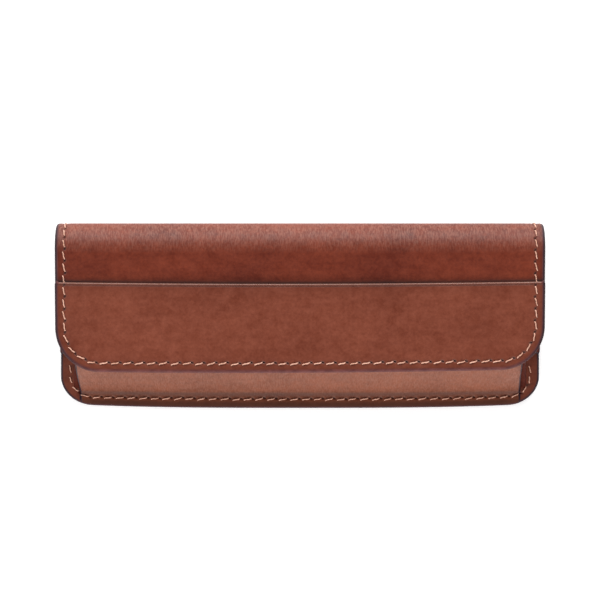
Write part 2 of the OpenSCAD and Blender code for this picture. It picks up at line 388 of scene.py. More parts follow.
def sheet(name, place, rows, span, face, back, materials, edge=EDGE, relief=None, butt=None, border=0,
          step=FINE, wrinkle=None, coarse=(3, 8), cut=None):
    """A closed leather sheet.

    rows are places along the rail and span gives each row's two ends across it, all short of the outline by
    edge. materials are for the face, the rim and the back. relief(c, s) gives a depth and a darkness for the
    face, and wrinkle(c, s) how far its grain is drawn. butt is the row, 0 or -1, that meets another sheet
    squarely. border is the width of the finely gridded margin, and coarse the size of the faces inside. cut is
    the smaller rounding of an unpainted edge at the first row, which the last material is then for.
    """
    low, high = span(rows)
    cols = int(math.ceil((high - low).max() / step)) + 1
    c = (low[:, None] + (high - low)[:, None] * np.linspace(0, 1, cols)).ravel()
    s = np.repeat(rows, cols)
    pressed, dark = relief(c, s) if relief else (0 * c, 0 * c)
    lift = face - pressed
    loop = np.array(outline_of(len(rows), cols))
    ring = np.stack([c[loop], s[loop]], -1)
    out, on_cut = rim_reach(ring, np.isin(loop % cols, (0, cols - 1)), rows, edge, butt, cut)
    points = [place(c, s, lift), place(c, s, np.full(c.shape, back))]
    points += rim_rings(place, ring, out, lift[loop], back)

    row_margin = [int(np.sum(np.abs(rows - rows[end]) < border)) for end in (0, -1)]
    if butt is not None:
        row_margin[butt] = 0
    over = surface_faces(len(rows), cols, row_margin, int(math.ceil(border / step)), *coarse)
    under = surface_faces(len(rows), cols, (0, 0), 0, *coarse)
    rim, rim_kinds = rim_faces(loop, len(c), on_cut, len(materials) - 1)
    faces = over + [tuple(len(c) + i for i in f[::-1]) for f in under] + rim
    under_kind = 2 if len(materials) > 2 and cut is None else 0
    kinds = [0] * len(over) + [under_kind] * len(under) + rim_kinds

    worn = wear(c, s, low, high, rows, butt)
    creased = wrinkle(c, s) if wrinkle else 0 * c
    # painted shade on the rim, most where it faces along the case, away from the softboxes
    side_rim_shade = np.tile(np.abs(out[:, 0]) / edge, RIM_STEPS - 1)
    values = {"worn": np.concatenate([worn, worn, np.ones(len(side_rim_shade))]),
              "dark": np.concatenate([dark, 0 * dark, side_rim_shade]),
              "creased": np.concatenate([creased, creased, np.zeros(len(side_rim_shade))])}
    return add_mesh(name, np.concatenate(points), faces, materials, kinds, values)


def stitches(name, place, marks, surface, material, radius=THREAD_R):
    """Twisted thread that comes up through one needle hole and goes down through the next."""
    around, along = 10, 13
    turn = np.linspace(0, 2 * math.pi, around, endpoint=False)
    t = np.linspace(-1, 1, along)
    points, faces = [], []
    for x, y, dx, dy, hand in marks:
        length = STITCH * rng.uniform(0.98, 1.08)
        sway = hand * THREAD_SWAY * np.sin(t * math.pi)
        middle_c = x + t * dx * length / 2 - dy * sway
        middle_s = y + t * dy * length / 2 + dx * sway
        top = surface(middle_c, middle_s)
        sink = np.abs(t) ** 6
        height = top + radius * 0.62 - sink * (radius * 0.62 + THREAD_SINK)
        phase = rng.uniform(0, 2 * math.pi)
        twist = t[:, None] * length / 2 * 2 * math.pi / PLY_TWIST + phase
        ply = 1 + PLY_DEPTH * np.cos(2 * turn[None, :] + twist)
        over = radius * ply * np.cos(turn)[None, :]
        up = radius * ply * np.sin(turn)[None, :]
        c = middle_c[:, None] - dy * over
        s = middle_s[:, None] + dx * over
        base = len(points) * around * along
        points.append(place(c.ravel(), s.ravel(), (height[:, None] + up).ravel()))
        for k in range(along - 1):
            for i in range(around):
                j = (i + 1) % around
                faces.append((base + k * around + i, base + k * around + j,
                              base + (k + 1) * around + j, base + (k + 1) * around + i))
        faces.append(tuple(base + i for i in range(around)))
        faces.append(tuple(base + (along - 1) * around + i for i in range(around)))
    return add_mesh(name, np.concatenate(points), faces, [material], smooth_angle=75)


# ---------------------------------------------------------------- materials
def new_material(name):
    material = bpy.data.materials.new(name)
    material.use_nodes = True
    tree = material.node_tree
    return material, tree, tree.nodes["Principled BSDF"]


def fill(tree, made, inputs):
    """Links a node's inputs to sockets or sets them to values."""
    for key, value in inputs.items():
        if isinstance(value, bpy.types.NodeSocket):
            tree.links.new(value, made.inputs[key])
        else:
            made.inputs[key].default_value = value


def node(tree, kind, inputs=None, **settings):
    made = tree.nodes.new(kind)
    for key, value in settings.items():
        setattr(made, key, value)
    fill(tree, made, inputs or {})
    return made


def ramp(tree, factor, stops):
    """Colours that run from one stop's to the next's as a factor grows."""
    made = node(tree, "ShaderNodeValToRGB", {"Fac": factor})
    elements = made.color_ramp.elements
    while len(elements) < len(stops):
        elements.new(0.5)
    for element, (place, colour) in zip(elements, stops):
        element.position = place
        element.color = (*colour, 1)
    return made.outputs["Color"]


def mixed(tree, factor, a, b, blend="MIX"):
    a, b = [c if isinstance(c, bpy.types.NodeSocket) else (*c, 1) for c in (a, b)]
    return node(tree, "ShaderNodeMix", {0: factor, 6: a, 7: b}, data_type="RGBA", blend_type=blend).outputs[2]


def times(tree, a, b):
    return node(tree, "ShaderNodeMath", {0: a, 1: b}, operation="MULTIPLY").outputs[0]


def plus(tree, total, *terms):
    for term in terms:
        total = node(tree, "ShaderNodeMath", {0: total, 1: term}, operation="ADD").outputs[0]
    return total


def texture(tree, kind, scale, stretch=(1, 1, 1), shift=(0, 0, 0), **inputs):
    """A noise or cell texture in the object's own metres, stretched along an axis by less scale there."""
    coords = node(tree, "ShaderNodeTexCoord").outputs["Object"]
    mapping = node(tree, "ShaderNodeMapping", {"Vector": coords, "Scale": stretch, "Location": shift})
    return node(tree, kind, {"Vector": mapping.outputs["Vector"], "Scale": scale, **inputs})


def noise(tree, scale, stretch=(1, 1, 1), shift=(0, 0, 0), **inputs):
    return texture(tree, "ShaderNodeTexNoise", scale, stretch, shift, **inputs).outputs["Fac"]


def attribute(tree, name):
    """A number that the mesh holds at each of its points."""
    return node(tree, "ShaderNodeAttribute", attribute_name=name).outputs["Fac"]


def bumped(tree, height, strength, depth, under=None):
    """A bump, on top of another where there is one."""
    inputs = {"Height": height, "Strength": strength, "Distance": depth}
    if under is not None:
        inputs["Normal"] = under
    return node(tree, "ShaderNodeBump", inputs).outputs["Normal"]


def mottled(tree, patch, deep, light):
    """Tanned leather's colour, which varies in clouds, patches, streaks and flecks."""
    cloud = noise(tree, 42, Detail=4, Roughness=0.55)
    streak = noise(tree, 500, (0.12, 1, 1), Detail=3, Roughness=0.5)
    fleck = noise(tree, 900, shift=(5, 2, 4), Detail=4, Roughness=0.7)
    tone = plus(tree, times(tree, patch, 0.26), times(tree, cloud, 0.30), times(tree, streak, 0.12),
                times(tree, fleck, 0.32))
    return ramp(tree, tone, [(0.39, deep), (0.61, light)])


def leather_surface(tree, pores, wrinkles):
    """Leather's shape, from its broad swells through pores and grain to the lines that a bend draws."""
    swell = noise(tree, 380, shift=(2, 5, 1), Detail=4, Roughness=0.55)
    grain = noise(tree, 2600, Detail=5, Roughness=0.65)
    bump = bumped(tree, swell, 0.5, 0.10 * MM)
    bump = bumped(tree, pores, 0.35, 0.05 * MM, bump)
    bump = bumped(tree, grain, 0.45, 0.05 * MM, bump)
    return bumped(tree, wrinkles, 0.8, 0.10 * MM, bump)


def leather(name, deep, light, roughness=0.45, shine=0.42, crease_colour=(0.34, 0.155, 0.105), crease_matt=0):
    """Burnished vegetable-tanned leather with pores, drawn lines, darker edges, and painted shade in needle
    holes, creases and gaps.

    crease_colour shows in the lines that a bend has drawn: the leather's paler pull-up there, made paler still
    as painted sheen. crease_matt is how much rougher they are.
    """
    material, tree, shader = new_material(name)
    worn, dark, creased = [attribute(tree, key) for key in ("worn", "dark", "creased")]
    patch = noise(tree, 260, shift=(3, 1, 2), Detail=5, Roughness=0.6)
    pores = texture(tree, "ShaderNodeTexVoronoi", 1500).outputs["Distance"]
    lines = noise(tree, 2700, (1, 0.2, 0.2), Detail=4, Distortion=0.6)

    burnt = tuple(0.62 * v for v in deep)
    colour = mixed(tree, times(tree, worn, 0.55), mottled(tree, patch, deep, light), burnt)
    pore_dark = ramp(tree, pores, [(0.0, (0.72, 0.72, 0.72)), (0.28, (1, 1, 1))])
    colour = mixed(tree, 0.6, colour, pore_dark, "MULTIPLY")
    line_mask = ramp(tree, lines, [(0.42, (0, 0, 0)), (0.62, (1, 1, 1))])
    # the drawn lines' pull-up, with painted sheen
    colour = mixed(tree, times(tree, line_mask, times(tree, creased, 0.36)), colour, crease_colour)
    # painted shade from the dark value, which outside the front's seam row also stands for burnished leather
    colour = mixed(tree, times(tree, dark, 0.9), colour, (0.014, 0.003, 0.002))
    matt = plus(tree, times(tree, patch, 0.22), roughness - 0.11, times(tree, dark, 0.35),
                times(tree, creased, crease_matt))
    fill(tree, shader, {"Base Color": colour, "Roughness": matt, "Specular IOR Level": shine,
                        "Normal": leather_surface(tree, pores, times(tree, lines, creased))})
    return material


def painted_edge(name, deep, light):
    """Burnished edge paint, not quite even, with painted shade that makes it nearly black where a rim faces
    along the case, away from the softboxes.
    """
    material, tree, shader = new_material(name)
    patch = noise(tree, 300, (1, 1, 3), Detail=4)
    paint = ramp(tree, patch, [(0.35, deep), (0.7, light)])
    # painted shade on the rims that face along the case
    colour = mixed(tree, times(tree, attribute(tree, "dark"), 0.85), paint, (0.010, 0.007, 0.012))
    grain = noise(tree, 900, Detail=4)
    fill(tree, shader, {"Base Color": colour, "Roughness": 0.5, "Specular IOR Level": 0.3,
                        "Specular Tint": (0.95, 0.85, 0.92, 1),
                        "Normal": bumped(tree, grain, 0.5, 0.08 * MM)})
    return material


def suede():
    """The nap side of a split: matte, fibrous and paler than the outside."""
    material, tree, shader = new_material("suede_lining")
    patch = noise(tree, 120, Detail=5, Roughness=0.65)
    fibre = noise(tree, 2600, (1, 0.4, 1), Detail=4, Roughness=0.7)
    tone = plus(tree, times(tree, patch, 0.5), times(tree, fibre, 0.5))
    colour = ramp(tree, tone, [(0.38, (0.20, 0.115, 0.065)), (0.62, (0.33, 0.205, 0.125))])
    fill(tree, shader, {"Base Color": colour, "Roughness": 0.95, "Sheen Weight": 0.35, "Sheen Roughness": 0.5,
                        "Normal": bumped(tree, fibre, 0.7, 0.12 * MM)})
    return material


def waxed_thread():
    """Waxed thread: pale peach, uneven in tone, with loose fibres."""
    material, tree, shader = new_material("waxed_thread")
    fibre = noise(tree, 5200, Detail=3, Roughness=0.6)
    patch = noise(tree, 340, Detail=2)
    tone = plus(tree, times(tree, fibre, 0.5), times(tree, patch, 0.5))
    colour = ramp(tree, tone, [(0.36, (0.58, 0.28, 0.18)), (0.62, (0.88, 0.50, 0.37))])
    fill(tree, shader, {"Base Color": colour, "Roughness": 0.6, "Sheen Weight": 0.2,
                        "Normal": bumped(tree, fibre, 0.6, 0.05 * MM)})
    return material


def nickel():
    """Nickel plate with fine tumbling marks."""
    material, tree, shader = new_material("nickel_plate")
    marks = noise(tree, 1500, Detail=3)
    colour = ramp(tree, marks, [(0.3, (0.55, 0.55, 0.57)), (0.7, (0.70, 0.70, 0.72))])
    fill(tree, shader, {"Base Color": colour, "Metallic": 1, "Roughness": 0.3})
    return material


# its crease_colour paints the sheen on the fold's roll as well as the leather's pull-up there
OUTER = leather("outer_leather", (0.100, 0.011, 0.003), (0.200, 0.032, 0.011),
                crease_colour=(0.44, 0.20, 0.14), crease_matt=0.17)
POCKET = leather("pocket_leather", (0.141, 0.026, 0.010), (0.238, 0.058, 0.029))
# a lit copy of the case's leather: paler, as painted light, for the front's slope, which faces the lower
# softbox
LIT_FRONT = leather("front_leather", (0.162, 0.037, 0.012), (0.266, 0.070, 0.029), shine=0.38)
# a shaded copy of the case's leather: darker, as painted shade, for the end walls that face sideways, away from
# the softboxes
SHADED_GUSSET = leather("gusset_leather", (0.042, 0.006, 0.003), (0.092, 0.015, 0.007), roughness=0.8, shine=0.1)
# the pocket's unpainted cut edge: paler raw leather, made paler still as a painted highlight where it catches
# the upper softbox
CUT_EDGE = leather("cut_edge", (0.240, 0.095, 0.065), (0.380, 0.180, 0.130), roughness=0.36)
PAINT = painted_edge("edge_paint", (0.046, 0.012, 0.014), (0.090, 0.025, 0.026))
FLAP_PAINT = painted_edge("flap_edge_paint", (0.105, 0.026, 0.022), (0.170, 0.048, 0.040))
SUEDE = suede()
THREAD = waxed_thread()
NICKEL = nickel()

# ---------------------------------------------------------------- rails of the case
outer_rail = Rail([(LOW_Y, 0), (FOLD_Y, 0), (FOLD_Y, FLAP_TOP), (TIP_Y, FLAP_TOP)], [LOWER_BEND, UPPER_BEND])
outside = across_x(outer_rail, -1)
FLAT_BACK = FOLD_Y - LOWER_BEND - LOW_Y
SPINE_START = FLAT_BACK + LOWER_BEND * QUARTER
MID_SPINE = SPINE_START + FLAP_TOP / 2 - LOWER_BEND
FLAP_START = MID_SPINE + FLAP_TOP / 2 - UPPER_BEND + UPPER_BEND * QUARTER
FLAP_END = outer_rail.length

FRONT_SLOPE = math.radians(55)
SLOPE_L = (FRONT_HI.z - 2 * LEATHER) / math.tan(FRONT_SLOPE)
front_rail = Rail([(LOW_Y, 2 * LEATHER), (LOW_Y + FLANGE_W, 2 * LEATHER),
                   (LOW_Y + FLANGE_W + SLOPE_L, FRONT_HI.z), (FRONT_HI.y, FRONT_HI.z)], [2.2 * MM, 5 * MM])
front_face = across_x(front_rail, 1)


def on_flap(y):
    """The place along the outer rail of a height y up the flap."""
    return FLAP_END - (y - TIP_Y)


def hanging(c, s, h):
    """Places the flap's pieces and the linings. The flap's tip is a little skewed and bowed."""
    reach = np.clip((s - FLAP_START) / (FLAP_END - FLAP_START), 0, 1)
    across = c / FLAP_HALF
    return outside(c, s + (TIP_BOW * (1 - 1.5 * across ** 2) - TIP_TILT * across) * reach, h)


def lining_side(c, s, h):
    """The same, with heights measured inwards."""
    return hanging(c, s, -h)


def flap_half(s, inset):
    """Half the flap's width at a place along the rail, less an inset all round."""
    taper = FLAP_TAPER * np.clip((s - FLAP_START) / (FLAP_END - FLAP_START), 0, 1)
    return rounded_half(FLAP_END - inset - s, FLAP_HALF - inset - taper, FLAP_CORNER - inset)


def back_half(s, inset):
    """The same for the back, which widens to the flap's width towards the fold."""
    grown = (FLAP_HALF - BACK_HALF) * np.clip((s - FLAT_BACK / 2) / (FLAT_BACK / 2), 0, 1)
    return rounded_half(s - inset, BACK_HALF - inset + grown, BACK_CORNER - inset)


def drawn_near(middle, reach):
    """Fine lines where a bend has drawn the grain: most in its middle, and none past its reach."""
    return lambda c, s: np.clip(1 - np.abs(s - middle) / reach, 0, 1) ** 0.6


# ---------------------------------------------------------------- flap
POCKET_EDGE = on_flap(POCKET_HI.y)
POCKET_BOW = 0.45 * MM           # how far the pocket's free edge bows down in the middle
POCKET_CUT = 0.45 * MM           # how far that edge, which was left as it was cut, is rounded
POCKET_GAPE = 0.32 * MM          # how far it stands off the flap there
BOW_FADE = 12 * MM               # how far from the edge the bow fades out
GAPE_FADE = 3.5 * MM             # how fast the gape closes
CREASE_AT, CREASE_HALF = 0.95 * MM, 0.24 * MM    # a line pressed along the edge
CREASE_DEPTH = 0.13 * MM
LINE_UP, LINE_HALF = 0.25 * MM, 0.60 * MM        # the painted shadow on the flap, from the pocket's edge up
seam_half = FLAP_HALF - SEAM_INSET
flap_seam = arc_path([(-seam_half, MID_SPINE), (-seam_half, FLAP_START),
                      (-(seam_half - FLAP_TAPER), FLAP_END - TIP_SEAM_INSET),
                      (seam_half - FLAP_TAPER, FLAP_END - TIP_SEAM_INSET),
                      (seam_half, FLAP_START), (seam_half, MID_SPINE)],
                     [SEAM_EASE, FLAP_CORNER - TIP_SEAM_INSET, FLAP_CORNER - TIP_SEAM_INSET, SEAM_EASE])
flap_marks = marks_along(flap_seam, slant=-SLANT)


def pocket_edge(c):
    """The place of the pocket's free edge along the rail, which bows down in the middle."""
    return POCKET_EDGE + POCKET_BOW * np.cos(np.clip(c / FLAP_HALF, -1, 1) * QUARTER) ** 0.8


def flap_relief(c, s):
    """The seam down to the pocket's edge, a painted shadow on the flap just above that edge, and a flat bed
    below it.
    """
    depth, dark = seam_marks(c, s, flap_marks)
    covered = s > POCKET_EDGE
    depth = np.where(covered, UNEVEN, depth)
    # painted shadow: the flap is darkened just above the pocket's edge, where that edge stands off it
    shade = 0.95 * np.exp(-((s - pocket_edge(c) + LINE_UP) / LINE_HALF) ** 2)
    return depth + UNEVEN * (1 + ripple(c, s, 3)) * (s > FLAP_START), np.where(covered, shade, dark + shade)


def flap_span(s):
    return -flap_half(s, FLAP_EDGE), flap_half(s, FLAP_EDGE)


def rows_to_tip(first, step, edge):
    """Rows from a place on the rail to the flap's tip, closer together round its corners."""
    return np.unique(np.concatenate([spread(first, FLAP_END - FLAP_CORNER, step),
                                     corner_rows(FLAP_END - edge, FLAP_CORNER - edge, step, -1)]))


def build_flap():
    flap = sheet("flap_leather", hanging, rows_to_tip(MID_SPINE, FINE, FLAP_EDGE), flap_span,
                 0.0, -LEATHER, [OUTER, FLAP_PAINT, OUTER], edge=FLAP_EDGE, relief=flap_relief, butt=0,
                 border=BORDER, wrinkle=drawn_near(FLAP_START - UPPER_BEND, 1.15 * UPPER_BEND), coarse=(2, 8))
    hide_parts("flap_panel", "fold_spine")
    return flap


def build_pocket():
    """The pocket panel, whose rows run from its free edge, so that the edge can bow and gape."""
    first = POCKET_EDGE + POCKET_CUT
    past_crease = first + 2 * MM
    rows = np.union1d(spread(first, past_crease, FINE / 2), rows_to_tip(past_crease, FINE, FLAP_EDGE))

    def bowed(c, s, h):
        drop = pocket_edge(c) - POCKET_EDGE
        fade = np.clip(1 - (s - POCKET_EDGE) / BOW_FADE, 0, 1)
        middle = np.clip(1.25 - np.abs(c) / (seam_half - 2 * MM) * 1.25, 0, 1) ** 0.5
        gape = POCKET_GAPE * middle * np.exp(-np.maximum(s - POCKET_EDGE, 0) / GAPE_FADE)
        return hanging(c, s + drop * fade, h + gape)

    def relief(c, s):
        depth, dark = seam_marks(c, s, flap_marks)
        crease = np.exp(-((s - POCKET_EDGE - CREASE_AT) / CREASE_HALF) ** 2)
        depth = np.maximum(depth, CREASE_DEPTH * crease) + UNEVEN * (1 + ripple(c, s, 4))
        # painted shade in the pressed crease's groove
        return depth, np.maximum(dark, 0.45 * crease)

    pocket = sheet("pocket_leather", bowed, rows, flap_span, STRIP, CLEAR, [POCKET, FLAP_PAINT, CUT_EDGE],
                   edge=FLAP_EDGE, relief=relief, border=BORDER, coarse=(4, 8), cut=POCKET_CUT)
    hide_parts("pocket_panel")
    return pocket


def flap_surface(c, s):
    """Height of the leather that the flap's stitches lie on."""
    return STRIP * np.clip((s - POCKET_EDGE) / (0.5 * MM), 0, 1) - BITE


def level(height):
    """A flat surface for stitches to lie on."""
    return lambda c, s: np.full(c.shape, height)


def inner_stitches(name, marks):
    """The same stitches where they come out on the lining."""
    return stitches(name, lining_side, marks, level(LEATHER + LINING - BITE), THREAD)


def build_flap_thread():
    """The seam's thread on the flap's face and on its lining."""
    thread = stitches("flap_thread", hanging, flap_marks, flap_surface, THREAD)
    join(thread, inner_stitches("flap_inner_thread", flap_marks))
    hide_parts("flap_stitching", "spine_stitching")
    return thread


# ---------------------------------------------------------------- back
back_seam_half = BACK_HALF - SEAM_INSET
back_seam = arc_path([(-seam_half, MID_SPINE), (-seam_half, SPINE_START), (-back_seam_half, SEAM_INSET),
                      (back_seam_half, SEAM_INSET), (seam_half, SPINE_START), (seam_half, MID_SPINE)],
                     [SEAM_EASE, BACK_CORNER - SEAM_INSET, BACK_CORNER - SEAM_INSET, SEAM_EASE])
back_marks = marks_along(back_seam)
BACK_GROOVE = 0.50 * MM          # the back's stitches lie in a groove, so that the case rests on leather


def back_relief(c, s):
    return seam_marks(c, s, back_marks, groove=BACK_GROOVE, hole=0.7 * MM, channel=0.32 * MM)


def build_back():
    rows = np.unique(np.concatenate([corner_rows(EDGE, BACK_CORNER - EDGE, FINE, 1),
                                     spread(BACK_CORNER, MID_SPINE, FINE)]))
    back = sheet("back_leather", outside, rows, lambda s: (-back_half(s, EDGE), back_half(s, EDGE)),
                 0.0, -LEATHER, [OUTER, PAINT, OUTER], relief=back_relief, butt=-1, border=BORDER,
                 wrinkle=drawn_near(SPINE_START - 0.8 * LOWER_BEND, 1.2 * LOWER_BEND), coarse=(2, 8))
    bow_bottom(back)
    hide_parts("back_panel", "fold_spine")
    return back


def build_back_thread():
    """The seam's thread on the back, and on the lining where it runs past the box's mouth."""
    thread = stitches("back_thread", outside, back_marks, level(-BACK_GROOVE), THREAD, radius=THREAD_R * 0.95)
    past_mouth = back_marks[:, 1] > GUSSET_HI.y - LOW_Y + STITCH
    join(thread, inner_stitches("back_inner_thread", back_marks[past_mouth]))
    bow_bottom(thread)
    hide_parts("spine_stitching")
    return thread


# ---------------------------------------------------------------- pen box
FRONT_SHIFT = -0.4 * MM          # the front was set by hand a little to the left
BOTTOM_BOW = 0.9 * MM            # how much higher the bottom edge is near its ends than in the middle
BOW_HALF = 71 * MM               # from the middle to where it is that much higher
BOW_TOP_Y, BOW_BAND = -20 * MM, 12.5 * MM    # the bow fades in down the case from here, over this height
FOOT_SHADE, BEND_SHADE = 3.4 * MM, 0.9 * MM      # how far the front's painted shade reaches, at the slope's foot and in the bend
box_seam_x, box_seam_y = BACK_HALF - FLANGE_INSET, LOW_Y + FLANGE_ROW_INSET
box_seam = arc_path([(-box_seam_x, GUSSET_HI.y), (-box_seam_x, box_seam_y), (box_seam_x, box_seam_y),
                     (box_seam_x, GUSSET_HI.y)], [BACK_CORNER - FLANGE_ROW_INSET] * 2)
box_marks = marks_along(box_seam, skip=lambda x, y: (y > BAND_LO.y - 1.5 * MM) & (y < BAND_HI.y + 1.5 * MM))


def flat(c, s, h):
    """Places a flat piece in the frame's own axes."""
    return np.stack([c, s, h + 0 * c], -1)


def bow_bottom(piece):
    """Lifts the ends of a box piece's bottom edge, which was cut to a slight curve."""
    mesh = piece.data
    points = np.empty(len(mesh.vertices) * 3, np.float32)
    mesh.vertices.foreach_get("co", points)
    points = points.reshape(-1, 3)
    low = np.clip((BOW_TOP_Y - points[:, 1]) / BOW_BAND, 0, 1)
    points[:, 1] += BOTTOM_BOW * np.abs(points[:, 0] / BOW_HALF) ** 3 * low
    mesh.vertices.foreach_set("co", points.ravel())
    mesh.update()


def box_surface(c, s):
    """Height of the leather under the box's stitches: the front's lower strip, then the gussets' flanges."""
    on_flange = np.clip((np.abs(c) - FRONT_HI.x) / (0.5 * MM), 0, 1)
    return 2 * LEATHER + (FLANGE_TOP - 2 * LEATHER) * on_flange - BITE


def box_thread(name, node_name, part, extra=None):
    """The stitches of one part of the seam round the box, with any others that belong to the same node."""
    thread = stitches(name, flat, box_marks[part], box_surface, THREAD)
    if extra is not None:
        join(thread, extra)
    bow_bottom(thread)
    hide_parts(node_name)
    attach(thread, "case")


def front_wrinkles(c, s):
    """The slope and the shoulder have fine lines that run up from the seam."""
    return 0.9 * np.clip((s - 3 * MM) / (3 * MM), 0, 1) * np.clip((34 * MM - s) / (8 * MM), 0, 1)


def build_front():
    half = FRONT_HI.x - FRONT_EDGE
    on_rail = box_marks.copy()
    on_rail[:, 1] -= LOW_Y

    def place(c, s, h):
        """The slope leans a little to the left, as it was set by hand."""
        points = front_face(c, s, h)
        points[..., 0] += FRONT_SHIFT * np.clip((s - FLANGE_W) / (10 * MM), -0.3, 1)
        return points

    def relief(c, s):
        """The seam; painted shade at the slope's foot and in the bend there; darker outside the row, partly
        burnished leather and partly painted shade; and a little painted shade away from its ends, which turn
        towards the light.
        """
        depth, dark = seam_marks(c, s, on_rail)
        # painted shade, apart from burnished leather in part of the strip outside the row
        foot = np.clip((FLANGE_W + FOOT_SHADE - s) / FOOT_SHADE, 0, 1)
        bend = np.exp(-((s - FLANGE_W) / BEND_SHADE) ** 2)
        outside_row = np.clip((FLANGE_ROW_INSET - 0.5 * MM - s) / (0.8 * MM), 0, 1)
        middle_shade = np.clip((half - np.abs(c)) / (9 * MM), 0, 1)
        shaded = 0.16 * foot + 0.36 * bend + 0.34 * outside_row + 0.07 * middle_shade
        return depth + 0.06 * MM * (1 + ripple(c, s, 6)), np.maximum(dark, shaded)

    def span(s):
        """As wide as the frame's front, less where the back's round corners cut its lower strip."""
        at_corner = rounded_half(np.minimum(s, FLANGE_W) - FRONT_EDGE, BACK_HALF - FRONT_EDGE,
                                 BACK_CORNER - FRONT_EDGE)
        return -np.minimum(half, at_corner), np.minimum(half, at_corner)

    rows = spread(FRONT_EDGE, front_rail.length - FRONT_EDGE, FINE)
    front = sheet("front_leather", place, rows, span, 0.0, -LEATHER, [LIT_FRONT, PAINT, SUEDE],
                  edge=FRONT_EDGE, relief=relief, border=BORDER, wrinkle=front_wrinkles)
    bow_bottom(front)
    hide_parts("front_panel")
    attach(front, "case")
    box_thread("bottom_thread", "bottom_stitching", np.abs(box_marks[:, 0]) < FRONT_HI.x)


def build_gusset(side, name, node_name, thread_name, thread_node):
    """One end wall of the box: a flange sewn to the back, and a leaning wall tucked in behind the front."""
    def ends(s):
        """From just under the front's end to the back's outline."""
        outer = rounded_half(s - LOW_Y - EDGE, BACK_HALF - EDGE, BACK_CORNER - EDGE)
        inner = np.minimum(FRONT_HI.x + 0.3 * MM, outer - 0.3 * MM)
        return (inner, outer) if side > 0 else (-outer, -inner)

    rows = np.unique(np.concatenate([corner_rows(LOW_Y + EDGE, BACK_CORNER - EDGE, FINE, 1)[3:],
                                     spread(LOW_Y + BACK_CORNER, GUSSET_HI.y - EDGE, FINE)]))
    plate = sheet(name, flat, rows, ends, FLANGE_TOP, LEATHER + CLEAR, [POCKET, PAINT, SHADED_GUSSET],
                  relief=lambda c, s: seam_marks(c, s, box_marks))
    join(plate, build_wall(side))
    bow_bottom(plate)
    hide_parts(node_name)
    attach(plate, "case")
    band_x = side * (BAND_HI.x - STRIP)
    band_marks = marks_along(arc_path([(band_x, BAND_LO.y + 1 * MM), (band_x, BAND_HI.y - 1 * MM)], []))
    on_band = stitches(thread_name + "_band", flat, band_marks, level(FLANGE_TOP + STRIP - BITE), THREAD)
    box_thread(thread_name, thread_node, side * box_marks[:, 0] > FRONT_HI.x, on_band)


def build_wall(side):
    """The wall follows the front's underside: low at the bottom seam, full height from shoulder to mouth."""
    along_front = spread(0, front_rail.length, PATH_STEP)
    underside = front_face(0 * along_front, along_front, np.full(along_front.shape, -LEATHER))
    low_z = FLANGE_TOP - 0.6 * MM
    full = FRONT_HI.z - LEATHER - low_z
    ys = spread(LOW_Y + FLANGE_W - EDGE, GUSSET_HI.y, EDGE)
    t = np.linspace(0, 1, 26)
    outer, inner = [], []
    for y in ys:
        top_z = max(float(np.interp(y, underside[:, 1], underside[:, 2])) - 0.05 * MM, low_z + 0.3 * MM)
        head_x = WALL_FOOT - (WALL_FOOT - WALL_HEAD) * (top_z - low_z) / full
        turn = min(1.4 * MM, (top_z - low_z) * 0.4)
        rail = Rail([(WALL_FOOT, low_z), (head_x, top_z), (head_x - TUCK, top_z)], [turn])
        place = across_y(rail, -1)
        outer.append(place(np.full(t.shape, y), t * rail.length, 0 * t))
        inner.append(place(np.full(t.shape, y), t * rail.length, np.full(t.shape, -STRIP)))
    points = np.concatenate(outer + inner) * np.array([side, 1, 1])
    grid = len(ys) * len(t)
    face = surface_faces(len(ys), len(t), (0, 0), 0, len(ys), len(t))
    loop = outline_of(len(ys), len(t))
    rim = [(a, b, grid + b, grid + a) for a, b in zip(loop, loop[1:] + loop[:1])]
    faces = face + [tuple(grid + i for i in f[::-1]) for f in face] + rim
    values = {key: np.zeros(len(points)) for key in ("worn", "dark", "creased")}
    return add_mesh("wall", points, faces, [SHADED_GUSSET], values=values)


def build_band():
    """The band over the box, which is sewn to the flanges at its two ends."""
    low_z, top_z = FLANGE_TOP + STRIP, BAND_HI.z
    foot, shoulder = WALL_FOOT + STRIP, WALL_HEAD + STRIP
    rail = Rail([(-BAND_HI.x, low_z), (-foot, low_z), (-shoulder, top_z),
                 (shoulder, top_z), (foot, low_z), (BAND_HI.x, low_z)], [0.8 * MM, 2 * MM, 2 * MM, 0.8 * MM])
    edge = EDGE * 0.8
    step = 0.5 * MM
    rows = spread(edge, rail.length - edge, step)
    band = sheet("side_band_leather", across_y(rail, 1), rows,
                 lambda s: (np.full(s.shape, BAND_LO.y + edge), np.full(s.shape, BAND_HI.y - edge)),
                 0.0, -STRIP + 0.03 * MM, [OUTER, PAINT, SUEDE], edge=edge, step=step)
    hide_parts("side_band")
    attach(band, "case")


# ---------------------------------------------------------------- linings
LINING_INSET = 1.3 * MM          # the linings stop this far short of the leather's edges
LINING_STEP = 0.6 * MM
LINING_BOTTOM = 7 * MM           # from the back's bottom edge, inside the box, to its lining


